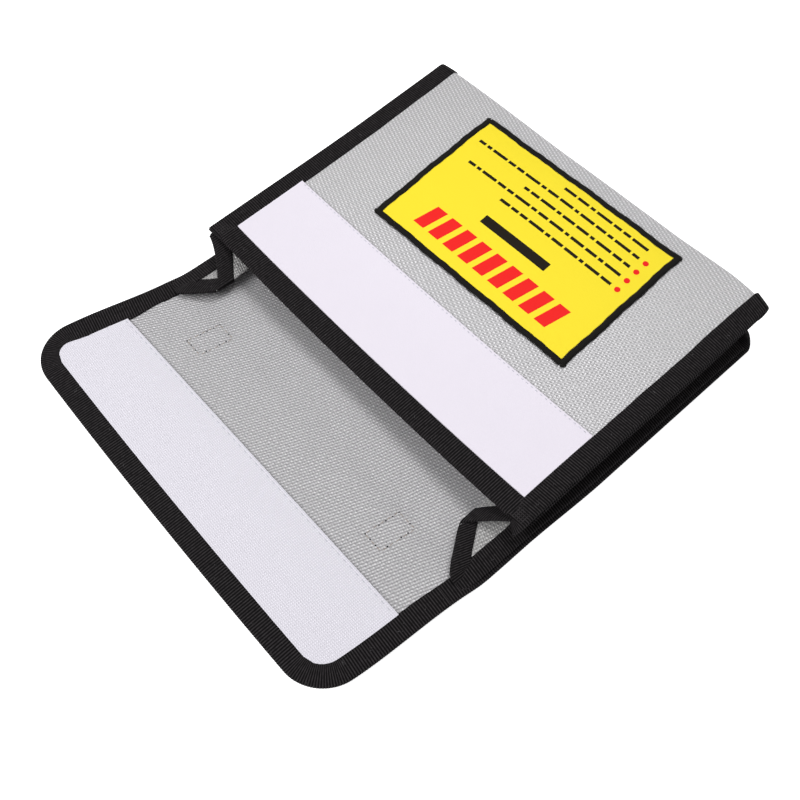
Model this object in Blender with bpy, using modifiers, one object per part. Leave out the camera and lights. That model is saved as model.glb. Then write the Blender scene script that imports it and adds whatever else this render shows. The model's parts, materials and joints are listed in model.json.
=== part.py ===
"""Lipo safe bag: a flat fire-resistant pouch with a tuck-over flap, lying on its back with the flap open.

Frame: metres, +X along the mouth, +Y from the mouth to the bottom of the bag, +Z up.
The origin is under the middle of the whole outline, on the surface that the bag lies on.
The back lies on that surface. Both sides and the bottom are folded inward in a V, and open out
together, so that the front rises parallel to the back. The flap has two folds.
"""
import math

import bmesh
import bpy
from mathutils import Matrix, Vector

MM = 0.001

# Driving dimensions
BAG_WIDTH = 240 * MM
FLAP_WIDTH = 235 * MM            # just narrow enough to pass between the opened sides
GUSSET_HALF = 29 * MM            # from a seam's fold to the middle fold
FRONT_HEIGHT = 20.4 * MM         # middle of the front's cloth, with the bag folded nearly flat
FLAP_EDGE_Y = -148 * MM
COVER_FOLD_Y = -86.3 * MM
SPINE_FOLD_Y = -61.8 * MM
GUSSET_BACK_Y = -55.8 * MM       # the gusset's mouth edge slopes from here at the back seam
GUSSET_MIDDLE_Y = -45.8 * MM     # to here at its middle fold
GUSSET_FRONT_Y = -32.8 * MM      # and to here at the front seam
MOUTH_Y = -30.8 * MM
BOTTOM_FOLD_Y = 140.2 * MM
NOSE_END_Y = 148 * MM            # the front's bottom fold rolls out over the back

# Cloth, tape and gaps
CLOTH = 0.7 * MM
GUSSET_CLOTH = 0.6 * MM
TAPE_WALL = 0.45 * MM
TAPE_HALF = 1.2 * MM             # half the thickness of the binding round the outer seams
GUSSET_TAPE_WALL = 0.4 * MM
GUSSET_TAPE_HALF = 1.0 * MM
SIDE_TAPE = 11 * MM
EDGE_TAPE = 10.3 * MM
GUSSET_TAPE = 10 * MM
GAP = 0.3 * MM
FOLD_GAP = 1.2 * MM              # from a flap fold's axis to the cloth and tape on each side of it
TAPE_INSET = 0.8 * MM            # from a tape's outer edge to the cloth inside it
STEM = 2 * MM                    # gusset cloth stops this far from a fold's axis
TAPE_STEM = 5 * MM               # and its tape this far from the middle fold
GUSSET_EDGE = 1 * MM             # from a seam's axis to the edge of the gusset's seam tape
SEAM_INSET = 1 * MM              # from the bag's outer edge to a side seam's axis
GUSSET_END_GAP = 1.5 * MM        # from the bottom seam's axis to the end of a side gusset
ROLL_OUT = 1.3 * MM              # from the bottom seam's axis to the middle of the back's roll
FLAP_LIFT = 0.15 * MM            # from the surface below to the underside of the handle strap

# Bottom of the bag
MITRE = 7.5 * MM                 # keeps the bottom's folded cloth clear of the sides' folded cloth
NOSE_RADIUS = 3.5 * MM
BACK_ROLL_RADIUS = 2 * MM
NOSE_ARC = (90, -90)             # degrees round the front's roll
BACK_ROLL_ARC = (-90, 60)        # degrees round the back's roll
ARC_STEPS = 8

# Patches and handle
PILE = 1.4 * MM
HOOK_PILE = 1.3 * MM
LOOP_END_Y = 26.5 * MM
HOOK_END_Y = -93.6 * MM
LABEL_SIZE = (139.5 * MM, 89.8 * MM)
LABEL_CENTRE = (3 * MM, 87.8 * MM)
LABEL_EDGE = 4.2 * MM
LABEL_CLOTH = 0.6 * MM
LABEL_EDGE_THICK = 1.6 * MM
FLAP_CORNER = 20 * MM
STRAP_WIDTH = 21 * MM
STRAP_THICK = 1.2 * MM
STRAP_LENGTH = 166 * MM
BOX_CENTRE_X = 73 * MM
BOX_SIZE = (12 * MM, 19.5 * MM)
THREAD = 0.5 * MM

# Worked out from the driving dimensions
HALF_WIDTH = BAG_WIDTH / 2
FLAP_HALF = FLAP_WIDTH / 2
BACK_Z = TAPE_HALF
FLAP_Z = FLAP_LIFT + STRAP_THICK + GAP + CLOTH / 2
SEAM_RISE = TAPE_HALF + GAP + GUSSET_TAPE_HALF
BACK_SEAM_Z = BACK_Z + SEAM_RISE
FRONT_SEAM_Z = FRONT_HEIGHT - SEAM_RISE
FOLD_ANGLE = math.asin((FRONT_SEAM_Z - BACK_SEAM_Z) / (2 * GUSSET_HALF))
FOLD_REACH = GUSSET_HALF * math.cos(FOLD_ANGLE)
SEAM_X = HALF_WIDTH - SEAM_INSET
MIDDLE_X = SEAM_X - FOLD_REACH
MIDDLE_Z = (BACK_SEAM_Z + FRONT_SEAM_Z) / 2
MIDDLE_Y = BOTTOM_FOLD_Y - FOLD_REACH
GUSSET_END_Y = BOTTOM_FOLD_Y - GUSSET_END_GAP
ROLL_Y = BOTTOM_FOLD_Y + ROLL_OUT
NOSE_Y = NOSE_END_Y - NOSE_RADIUS - TAPE_HALF


def new_collection(name):
    collection = bpy.data.collections.new(name)
    bpy.context.scene.collection.children.link(collection)
    return collection


def material(name, color, roughness):
    made = bpy.data.materials.new(name)
    made.use_nodes = True
    shader = made.node_tree.nodes["Principled BSDF"]
    shader.inputs["Base Color"].default_value = (*color, 1.0)
    shader.inputs["Roughness"].default_value = roughness
    made.diffuse_color = (*color, 1.0)
    return made


def place(obj, collection, frame, finish):
    """Link an object, hang it on its body's empty, and give it a material of its own."""
    collection.objects.link(obj)
    obj.parent = frame
    obj.data.materials.append(material(obj.name, *finish))
    return obj


def body_frame(name, collection, origin, along, across):
    """An empty on a fold's axis: +X along the piece away from the fold, +Y across it."""
    normal = Vector(along).cross(Vector(across))
    frame = bpy.data.objects.new(name, None)
    axes = Matrix((along, across, normal)).transposed().to_4x4()
    frame.matrix_world = Matrix.Translation(origin) @ axes
    collection.objects.link(frame)
    return frame


def rectangle(low_x, low_y, high_x, high_y):
    return [(low_x, low_y), (high_x, low_y), (high_x, high_y), (low_x, high_y)]


def arc(centre, radius, start, end):
    """Points on an arc, angles in degrees."""
    points = []
    for step in range(ARC_STEPS + 1):
        angle = math.radians(start + (end - start) * step / ARC_STEPS)
        points.append((centre[0] + radius * math.cos(angle), centre[1] + radius * math.sin(angle)))
    return points


def tongue(half_width, edge_y, end_y, radius):
    """A rectangle whose two corners at edge_y are rounded."""
    left = arc((-half_width + radius, edge_y + radius), radius, 180, 270)
    right = arc((half_width - radius, edge_y + radius), radius, 270, 360)
    return left + right + [(half_width, end_y), (-half_width, end_y)]


def sheet(name, collection, frame, finish, outlines, thickness, height=0.0):
    """A flat piece of cloth in its frame's XY plane. A second outline inside the first is a hole."""
    curve = bpy.data.curves.new(name, "CURVE")
    curve.dimensions = "2D"
    curve.fill_mode = "BOTH"
    curve.extrude = thickness / 2
    for outline in outlines:
        spline = curve.splines.new("POLY")
        spline.points.add(len(outline) - 1)
        for point, (x, y) in zip(spline.points, outline):
            point.co = (x, y, 0.0, 1.0)
        spline.use_cyclic_u = True
    obj = bpy.data.objects.new(name, curve)
    obj.location.z = height
    return place(obj, collection, frame, finish)


def open_surface(name, rows):
    """A mesh surface through rows of points, one row for each step along it."""
    mesh = bpy.data.meshes.new(name)
    surface = bmesh.new()
    grid = [[surface.verts.new(point) for point in row] for row in rows]
    for row, next_row in zip(grid, grid[1:]):
        for k in range(len(row) - 1):
            surface.faces.new((row[k], row[k + 1], next_row[k + 1], next_row[k]))
    surface.to_mesh(mesh)
    surface.free()
    return mesh


def solidified(obj, thickness):
    solidify = obj.modifiers.new("thickness", "SOLIDIFY")
    solidify.thickness = thickness
    solidify.offset = 0.0
    solidify.use_even_offset = True
    return obj


def tape(name, collection, frame, finish, path, inward, normals, width, half, wall):
    """A tape folded in half over an edge. path runs along the fold; inward points into the cloth."""
    rows = []
    for point, into, normal in zip(path, inward, normals):
        point, into, normal = Vector(point), Vector(into), Vector(normal)
        fold = point + into * wall / 2
        lip = point + into * width
        lift = normal * (half - wall / 2)
        rows.append([lip + lift, fold + lift, fold - lift, lip - lift])
    obj = bpy.data.objects.new(name, open_surface(name, rows))
    return place(solidified(obj, wall), collection, frame, finish)


def straight_tape(name, collection, frame, finish, start, end, into, width, half, wall):
    up = (0.0, 0.0, 1.0)
    return tape(name, collection, frame, finish, (start, end), (into, into), (up, up), width, half, wall)


def rolled_fold(name, collection, frame, finish, centre, radius, start, end, half_width):
    """Cloth rolled round the bottom fold: an arc in the YZ plane, run across the bag."""
    rows = []
    for y, z in arc(centre, radius, start, end):
        rows.append([(-half_width, y, z), (half_width, y, z)])
    obj = bpy.data.objects.new(name, open_surface(name, rows))
    return place(solidified(obj, CLOTH), collection, frame, finish)


def rolled_tape(name, collection, frame, finish, side, centre, radius, start, end):
    """Binding that follows the rolled fold at one side of the bag."""
    path, inward, normals = [], [], []
    for y, z in arc(centre, radius, start, end):
        path.append((side * HALF_WIDTH, y, z))
        inward.append((-side, 0.0, 0.0))
        normals.append(Vector((0.0, y - centre[0], z - centre[1])).normalized())
    return tape(name, collection, frame, finish, path, inward, normals, SIDE_TAPE, TAPE_HALF, TAPE_WALL)


# Finishes: colour and roughness
SILVER = ((0.47, 0.47, 0.48), 0.55)
GUSSET_SILVER = ((0.50, 0.50, 0.50), 0.5)
BLACK_TAPE = ((0.012, 0.011, 0.012), 0.85)
WEBBING = ((0.014, 0.013, 0.014), 0.8)
LOOP_WHITE = ((0.80, 0.77, 0.84), 0.95)
HOOK_WHITE = ((0.78, 0.78, 0.82), 0.6)
LABEL_YELLOW = ((0.95, 0.78, 0.04), 0.7)
THREAD_BEIGE = ((0.45, 0.36, 0.27), 0.8)


def build_back(collection):
    """The back panel with the binding of its two side seams. It is the fixed body."""
    frame = body_frame("back_origin", collection, (0, 0, BACK_Z), (1, 0, 0), (0, 1, 0))
    half = HALF_WIDTH - TAPE_INSET
    outline = rectangle(-half, SPINE_FOLD_Y + FOLD_GAP, half, ROLL_Y - GAP)
    sheet("back_panel", collection, frame, SILVER, [outline], CLOTH)
    centre = (ROLL_Y, BACK_ROLL_RADIUS)
    rolled_fold("back_bottom_fold", collection, frame, SILVER, centre, BACK_ROLL_RADIUS, *BACK_ROLL_ARC, half)
    for side, word in ((-1, "left"), (1, "right")):
        edge = side * HALF_WIDTH
        straight_tape(f"back_binding_{word}", collection, frame, BLACK_TAPE,
                      (edge, SPINE_FOLD_Y + FOLD_GAP, 0), (edge, ROLL_Y - GAP, 0), (-side, 0, 0),
                      SIDE_TAPE, TAPE_HALF, TAPE_WALL)
        rolled_tape(f"back_corner_binding_{word}", collection, frame, BLACK_TAPE, side,
                    centre, BACK_ROLL_RADIUS, *BACK_ROLL_ARC)
    return frame


def build_front(collection):
    """The front panel: bound mouth and sides, loop strip, and the label sewn on."""
    frame = body_frame("front_origin", collection, (-SEAM_X, 0, FRONT_SEAM_Z), (1, 0, 0), (0, 1, 0))
    level = bpy.data.objects.new("front_level", None)
    level.parent = frame
    level.location = (SEAM_X, 0, SEAM_RISE)
    collection.objects.link(level)
    half = HALF_WIDTH - TAPE_INSET
    outline = rectangle(-half, MOUTH_Y + TAPE_INSET, half, NOSE_Y - GAP)
    sheet("front_panel", collection, level, SILVER, [outline], CLOTH)
    centre = (NOSE_Y, -NOSE_RADIUS)
    rolled_fold("front_bottom_fold", collection, level, SILVER, centre, NOSE_RADIUS, *NOSE_ARC, half)
    for side, word in ((-1, "left"), (1, "right")):
        edge = side * HALF_WIDTH
        straight_tape(f"front_binding_{word}", collection, level, BLACK_TAPE,
                      (edge, MOUTH_Y, 0), (edge, NOSE_Y - GAP, 0), (-side, 0, 0),
                      SIDE_TAPE, TAPE_HALF, TAPE_WALL)
        rolled_tape(f"front_corner_binding_{word}", collection, level, BLACK_TAPE, side,
                    centre, NOSE_RADIUS, *NOSE_ARC)
    inner = HALF_WIDTH - SIDE_TAPE - TAPE_WALL / 2 - GAP
    straight_tape("front_mouth_binding", collection, level, BLACK_TAPE,
                  (-inner, MOUTH_Y, 0), (inner, MOUTH_Y, 0), (0, 1, 0),
                  SIDE_TAPE, TAPE_HALF, TAPE_WALL)
    top = CLOTH / 2 + GAP
    strip = rectangle(-inner, MOUTH_Y + SIDE_TAPE + 2 * GAP, inner, LOOP_END_Y)
    sheet("loop_strip", collection, level, LOOP_WHITE, [strip], PILE, top + PILE / 2)
    build_label(collection, level, top)
    return frame


def build_label(collection, level, top):
    (centre_x, centre_y), (width, length) = LABEL_CENTRE, LABEL_SIZE

    def outline(inset):
        half_x, half_y = width / 2 - inset, length / 2 - inset
        return rectangle(centre_x - half_x, centre_y - half_y, centre_x + half_x, centre_y + half_y)

    sheet("label_patch", collection, level, LABEL_YELLOW, [outline(LABEL_EDGE + GAP)],
          LABEL_CLOTH, top + LABEL_CLOTH / 2)
    sheet("label_border", collection, level, BLACK_TAPE, [outline(0), outline(LABEL_EDGE)],
          LABEL_EDGE_THICK, top + LABEL_EDGE_THICK / 2)


def gusset_half(collection, word, layer, frame, starts_at_seam):
    """One half of a side gusset: cloth, seam binding, and binding on its mouth and bottom edges."""
    seam_y = GUSSET_BACK_Y if starts_at_seam else GUSSET_FRONT_Y
    slope = (GUSSET_MIDDLE_Y - seam_y) / GUSSET_HALF

    def at(from_seam):
        """Distance along the frame's +X of a point this far from the seam."""
        return from_seam if starts_at_seam else GUSSET_HALF - from_seam

    def mouth(from_seam):
        return seam_y + slope * from_seam

    near, far = STEM, GUSSET_HALF - STEM
    cloth_end = GUSSET_END_Y - TAPE_INSET
    outline = [(at(near), mouth(near) + TAPE_INSET), (at(far), mouth(far) + TAPE_INSET),
               (at(far), cloth_end), (at(near), cloth_end)]
    name = f"{word}_gusset_{layer}"
    sheet(f"{name}_panel", collection, frame, GUSSET_SILVER, [outline], GUSSET_CLOTH)
    start_y = max(mouth(GUSSET_EDGE), mouth(GUSSET_TAPE))
    into = (1, 0, 0) if starts_at_seam else (-1, 0, 0)
    straight_tape(f"{name}_seam_binding", collection, frame, BLACK_TAPE,
                  (at(GUSSET_EDGE), start_y, 0), (at(GUSSET_EDGE), GUSSET_END_Y, 0), into,
                  GUSSET_TAPE, GUSSET_TAPE_HALF, GUSSET_TAPE_WALL)
    low = GUSSET_EDGE + GUSSET_TAPE + GUSSET_TAPE_WALL / 2 + GAP
    high = GUSSET_HALF - TAPE_STEM
    straight_tape(f"{name}_mouth_binding", collection, frame, BLACK_TAPE,
                  (at(low), mouth(low), 0), (at(high), mouth(high), 0), (0, 1, 0),
                  GUSSET_TAPE, GUSSET_TAPE_HALF, GUSSET_TAPE_WALL)
    straight_tape(f"{name}_end_binding", collection, frame, BLACK_TAPE,
                  (at(low), GUSSET_END_Y, 0), (at(high), GUSSET_END_Y, 0), (0, -1, 0),
                  GUSSET_TAPE, GUSSET_TAPE_HALF, GUSSET_TAPE_WALL)


def build_side_gussets(collection):
    cosine, sine = math.cos(FOLD_ANGLE), math.sin(FOLD_ANGLE)
    for side, word in ((-1, "left"), (1, "right")):
        lower = body_frame(f"{word}_back_seam_axis", collection, (side * SEAM_X, 0, BACK_SEAM_Z),
                           (-side * cosine, 0, sine), (0, 1, 0))
        upper = body_frame(f"{word}_middle_fold_axis", collection, (side * MIDDLE_X, 0, MIDDLE_Z),
                           (side * cosine, 0, sine), (0, 1, 0))
        gusset_half(collection, word, "back", lower, True)
        gusset_half(collection, word, "front", upper, False)


def build_bottom_gusset(collection):
    """The bottom's two halves. Their ends are cut on a slant to lie between the folded sides."""
    cosine, sine = math.cos(FOLD_ANGLE), math.sin(FOLD_ANGLE)

    def half_width(from_seam):
        return SEAM_X - from_seam * cosine - MITRE

    lower = body_frame("bottom_back_fold_axis", collection, (0, BOTTOM_FOLD_Y, BACK_SEAM_Z),
                       (0, -cosine, sine), (1, 0, 0))
    upper = body_frame("bottom_middle_fold_axis", collection, (0, MIDDLE_Y, MIDDLE_Z),
                       (0, cosine, sine), (1, 0, 0))
    near, far = STEM, GUSSET_HALF - STEM
    for name, frame, first, last in (("bottom_back_panel", lower, near, far),
                                     ("bottom_front_panel", upper, far, near)):
        outline = [(near, -half_width(first)), (far, -half_width(last)),
                   (far, half_width(last)), (near, half_width(first))]
        sheet(name, collection, frame, SILVER, [outline], GUSSET_CLOTH)


def build_flap(collection):
    """The flap's two stiff parts: the spine with the handle, and the cover with the hook strip."""
    spine = body_frame("flap_spine_axis", collection, (0, SPINE_FOLD_Y, FLAP_Z), (1, 0, 0), (0, 1, 0))
    cover = body_frame("flap_cover_axis", collection, (0, COVER_FOLD_Y, FLAP_Z), (1, 0, 0), (0, 1, 0))
    length = COVER_FOLD_Y - SPINE_FOLD_Y
    half = FLAP_HALF - TAPE_INSET
    sheet("flap_spine_panel", collection, spine, SILVER,
          [rectangle(-half, length + FOLD_GAP, half, -FOLD_GAP)], CLOTH)
    for side, word in ((-1, "left"), (1, "right")):
        edge = side * FLAP_HALF
        straight_tape(f"flap_spine_binding_{word}", collection, spine, BLACK_TAPE,
                      (edge, length + FOLD_GAP, 0), (edge, -FOLD_GAP, 0), (-side, 0, 0),
                      SIDE_TAPE, TAPE_HALF, TAPE_WALL)
    strap_y = length / 2
    strap_half = STRAP_WIDTH / 2
    strap_z = -(CLOTH / 2 + GAP + STRAP_THICK / 2)
    sheet("handle_strap", collection, spine, WEBBING,
          [rectangle(-STRAP_LENGTH / 2, strap_y - strap_half, STRAP_LENGTH / 2, strap_y + strap_half)],
          STRAP_THICK, strap_z)
    for side, word in ((-1, "left"), (1, "right")):
        loops = []
        for inset in (0.0, THREAD):
            half_x, half_y = BOX_SIZE[0] / 2 - inset, BOX_SIZE[1] / 2 - inset
            centre_x = side * BOX_CENTRE_X
            loops.append(rectangle(centre_x - half_x, strap_y - half_y, centre_x + half_x, strap_y + half_y))
        sheet(f"handle_box_stitch_{word}", collection, spine, THREAD_BEIGE, loops,
              THREAD, CLOTH / 2 + GAP + THREAD / 2)

    edge_y = FLAP_EDGE_Y - COVER_FOLD_Y
    outline = tongue(half, edge_y + TAPE_INSET, -FOLD_GAP, FLAP_CORNER - TAPE_INSET)
    sheet("flap_cover_panel", collection, cover, SILVER, [outline], CLOTH)
    build_flap_binding(collection, cover, edge_y, -FOLD_GAP)
    strip_half = FLAP_HALF - SIDE_TAPE - TAPE_WALL / 2 - GAP
    strip_edge = edge_y + SIDE_TAPE + TAPE_WALL / 2 + GAP
    strip_corner = FLAP_CORNER - SIDE_TAPE - TAPE_WALL / 2 - GAP
    sheet("hook_strip", collection, cover, HOOK_WHITE,
          [tongue(strip_half, strip_edge, HOOK_END_Y - COVER_FOLD_Y, strip_corner)],
          HOOK_PILE, CLOTH / 2 + GAP + HOOK_PILE / 2)


def build_flap_binding(collection, frame, edge_y, end_y):
    """One tape round the flap's three free sides, with its two round corners."""
    left = (-FLAP_HALF + FLAP_CORNER, edge_y + FLAP_CORNER)
    right = (FLAP_HALF - FLAP_CORNER, edge_y + FLAP_CORNER)
    path, inward = [(-FLAP_HALF, end_y, 0)], [(1, 0, 0)]
    for centre, start, end in ((left, 180, 270), (right, 270, 360)):
        for x, y in arc(centre, FLAP_CORNER, start, end):
            path.append((x, y, 0))
            inward.append(((centre[0] - x) / FLAP_CORNER, (centre[1] - y) / FLAP_CORNER, 0))
    path.append((FLAP_HALF, end_y, 0))
    inward.append((-1, 0, 0))
    normals = [(0, 0, 1)] * len(path)
    tape("flap_binding", collection, frame, BLACK_TAPE, path, inward, normals,
         SIDE_TAPE, TAPE_HALF, TAPE_WALL)


def main():
    for obj in list(bpy.data.objects):
        bpy.data.objects.remove(obj)
    collection = new_collection("lipo_safe_bag")
    build_back(collection)
    build_front(collection)
    build_side_gussets(collection)
    build_bottom_gusset(collection)
    build_flap(collection)
    bpy.context.view_layer.update()


main()
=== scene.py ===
"""Looks of the lipo safe bag: woven silver cloth, ribbed binding tape, hook and loop strips, label.

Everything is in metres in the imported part's frame: +X along the mouth, +Y toward the bottom, +Z up.
"""

import json
import math

import bpy
import numpy as np
from mathutils import Matrix, Vector


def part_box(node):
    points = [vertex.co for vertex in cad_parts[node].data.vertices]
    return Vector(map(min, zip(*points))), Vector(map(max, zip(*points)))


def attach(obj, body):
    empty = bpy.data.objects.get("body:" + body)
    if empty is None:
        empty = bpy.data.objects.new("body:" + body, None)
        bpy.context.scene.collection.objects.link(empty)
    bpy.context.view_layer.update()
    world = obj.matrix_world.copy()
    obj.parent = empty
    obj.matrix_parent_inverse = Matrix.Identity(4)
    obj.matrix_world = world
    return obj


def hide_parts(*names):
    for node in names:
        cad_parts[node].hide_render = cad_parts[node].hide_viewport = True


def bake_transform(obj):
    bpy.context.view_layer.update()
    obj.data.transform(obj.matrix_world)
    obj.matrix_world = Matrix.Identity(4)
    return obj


MM = 0.001
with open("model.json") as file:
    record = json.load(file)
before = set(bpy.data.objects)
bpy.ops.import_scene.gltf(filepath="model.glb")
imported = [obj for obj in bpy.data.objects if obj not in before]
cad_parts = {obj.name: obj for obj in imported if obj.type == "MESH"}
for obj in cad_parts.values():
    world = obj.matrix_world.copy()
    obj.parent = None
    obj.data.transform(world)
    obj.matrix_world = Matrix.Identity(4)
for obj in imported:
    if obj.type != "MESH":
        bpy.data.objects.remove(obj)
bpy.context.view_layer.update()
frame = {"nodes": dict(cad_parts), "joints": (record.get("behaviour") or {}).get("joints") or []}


# ---- sizes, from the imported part

def low(node):
    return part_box(node)[0]


def high(node):
    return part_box(node)[1]


EDGE_X = high("front_binding_right").x  # outer edge of the side tapes
TAPE_WIDTH = EDGE_X - low("front_binding_right").x
TAPE_HALF = high("back_binding_right").z / 2
BACK_Z = TAPE_HALF
FRONT_Z = (low("front_panel").z + high("front_panel").z) / 2
MOUTH_Y = low("front_mouth_binding").y
FLAP_EDGE_Y = low("flap_binding").y
FLAP_Z = (low("flap_cover_panel").z + high("flap_cover_panel").z) / 2
AXIS = {joint["name"]: joint["pos_m"] for joint in frame["joints"]}
SPINE_Y = AXIS["flap_spine_fold"][1]
COVER_Y = AXIS["flap_cover_fold"][1]
SEAM_X = abs(AXIS["bag_opening"][0])
BACK_SEAM_Z = AXIS["bag_opening"][2]
MIDDLE_X = abs(AXIS["left_gusset_middle_fold"][0])
MIDDLE_Z = AXIS["left_gusset_middle_fold"][2]
BOTTOM_MIDDLE_Y = AXIS["bottom_middle_fold"][1]
GUSSET_HALF = math.hypot(SEAM_X - MIDDLE_X, MIDDLE_Z - BACK_SEAM_Z)
GUSSET_END_Y = high("left_gusset_back_panel").y

# Soft shape that the folded plates don't have
RISE_LEFT = 5 * MM  # the front stands this much higher at the bottom than at the mouth
RISE_RIGHT = 9.6 * MM
TWIST = math.radians(1.0)  # the front lies turned this much over the back
TWIST_CENTRE_Y = 40 * MM
NOSE_RADIUS = 5.0 * MM
NOSE_CENTRE_Y = 143.2 * MM
CURL_RADIUS = 5.2 * MM  # the back rolls up under the front's bottom fold
CURL_CENTRE_Y = 139.8 * MM
BULGE = 7 * MM  # the front's middle swells over the folded bottom
SAG = 5.0 * MM  # and hangs down at the mouth, between the gussets
FLAP_LEAN = 0.15  # the flap leans toward -X by this share of its reach
BACK_SHIFT = 4.1 * MM  # the back's right side shows past the front
SPLIT_Y = (SPINE_Y + COVER_Y) / 2
FLAP_HALF = 118.6 * MM
FLAP_CORNER = 20 * MM
FLAP_CORNER_LEFT = 24 * MM
CLOTH = 0.7 * MM
RIB = 1.37 * MM  # pitch of the tape's ribs
RIB_DEPTH = 0.16 * MM
RIB_SAMPLES = 4
LIP_WAVER = 0.12 * MM  # how far a tape's lip wanders
LIP = 0.9 * MM  # from a tape's outer edge to the cloth inside it
GUSSET_CLOTH = 0.6 * MM
SOFT_FOLD = 1.1 * MM  # how round a gusset's middle fold is
SIDES = ((-1, "left"), (1, "right"))


# ---- mesh helpers

def clamp(t):
    return np.clip(t, 0.0, 1.0)


def ease(t):
    t = clamp(t)
    return t * t * (3 - 2 * t)


def unit(v):
    return v / np.maximum(np.linalg.norm(v, axis=-1, keepdims=True), 1e-12)


def wander(a, b, scale, seed):
    """A smooth, repeatable undulation between -1 and 1 over two coordinates."""
    total = 0.0
    for k in range(5):
        angle = seed * 1.7 + k * 2.4
        reach = 2 * math.pi / (scale * (0.6 + 0.35 * k))
        total = total + np.sin(reach * (a * math.cos(angle) + b * math.sin(angle)) + seed * 3.1 + k * 1.3)
    return total / 5


def join(*parts):
    """Arrays of coordinates as one array of points."""
    return np.stack(parts, axis=-1)


def directions(surface, us, vs, d):
    """Unit directions along a surface's two coordinates, from points d to each side."""
    return unit(surface(us + d, vs) - surface(us - d, vs)), unit(surface(us, vs + d) - surface(us, vs - d))


def build(name, points, faces, uv, finish, creases=()):
    """A smooth mesh piece with its flat coordinates. creases are the closed rings of its sharp edges."""
    mesh = bpy.data.meshes.new(name)
    mesh.from_pydata(np.asarray(points).tolist(), [], faces)
    layer = mesh.uv_layers.new(name="flat")
    corner = np.zeros(len(mesh.loops), np.int32)
    mesh.loops.foreach_get("vertex_index", corner)
    layer.data.foreach_set("uv", np.asarray(uv)[corner].astype(np.float32).ravel())
    mesh.shade_smooth()
    if creases:
        ends = np.zeros(2 * len(mesh.edges), np.int64)
        mesh.edges.foreach_get("vertices", ends)
        ends = np.sort(ends.reshape(-1, 2), axis=1)
        pairs = np.sort(np.concatenate([join(ring, np.roll(ring, -1)) for ring in creases]), axis=1)
        many = len(mesh.vertices)
        sharp = np.isin(ends[:, 0] * many + ends[:, 1], pairs[:, 0] * many + pairs[:, 1])
        mesh.attributes.new("sharp_edge", "BOOLEAN", "EDGE").data.foreach_set("value", sharp)
    obj = bpy.data.objects.new(name, mesh)
    bpy.context.scene.collection.objects.link(obj)
    mesh.materials.append(finish)
    return obj


def quads(rows, columns, offset=0, flip=False, wrap=False):
    """Four-cornered faces between the points of a grid; wrap joins its last column to its first."""
    i, j = np.meshgrid(np.arange(rows - 1), np.arange(columns if wrap else columns - 1), indexing="ij")
    nxt = (j + 1) % columns
    a, b = i * columns + j, (i + 1) * columns + j
    c, d = (i + 1) * columns + nxt, i * columns + nxt
    order = (d, c, b, a) if flip else (a, b, c, d)
    return np.stack([x.ravel() for x in order], axis=1) + offset


def shell_parts(grid, uv, thickness):
    """Points, faces, flat coordinates and the two rims of a closed thin sheet round a grid of points."""
    rows, columns = grid.shape[:2]
    normal = unit(np.cross(np.gradient(grid, axis=0), np.gradient(grid, axis=1)))
    top = (grid + normal * thickness / 2).reshape(-1, 3)
    bottom = (grid - normal * thickness / 2).reshape(-1, 3)
    count = rows * columns
    index = np.arange(count).reshape(rows, columns)
    rim = np.concatenate([index[0, :-1], index[:-1, -1], index[-1, :0:-1], index[:0:-1, 0]])
    after = np.roll(rim, -1)
    side = join(rim, after, after + count, rim + count)
    faces = np.concatenate([quads(rows, columns), quads(rows, columns, count, flip=True), side])
    flat = uv.reshape(-1, 2)
    return np.concatenate([top, bottom]), faces, np.concatenate([flat, flat]), (rim, rim + count)


def shell(name, grid, uv, thickness, finish):
    """One thin sheet as a piece, half its thickness on each side of a grid of points."""
    return shells(name, [(grid, uv)], thickness, finish)


def shells(name, sheets, thickness, finish):
    """Several thin sheets as one piece."""
    points, faces, flat, creases, base = [], [], [], [], 0
    for grid, uv in sheets:
        p, f, w, rims = shell_parts(grid, uv, thickness)
        points.append(p)
        faces.append(f + base)
        flat.append(w)
        creases += [rim + base for rim in rims]
        base += len(p)
    return build(name, np.concatenate(points), np.concatenate(faces).tolist(), np.concatenate(flat), finish,
            creases=creases)


def tape_section(width, half, core):
    """Half of a tape's section: (inward, height), from the lip to the fold, then back inside it."""
    outer = [(width, half * 0.62), (width - 0.35 * MM, half * 0.86), (width * 0.86, half * 0.95),
            (width * 0.6, half), (width * 0.3, half), (1.3 * MM, half * 0.95),
            (0.55 * MM, half * 0.76), (0.15 * MM, half * 0.42), (0.0, 0.0)]
    inner = [(1.2 * MM, 0.0), (1.6 * MM, core * 0.8), (width - 0.5 * MM, core)]
    return outer, inner


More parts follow.
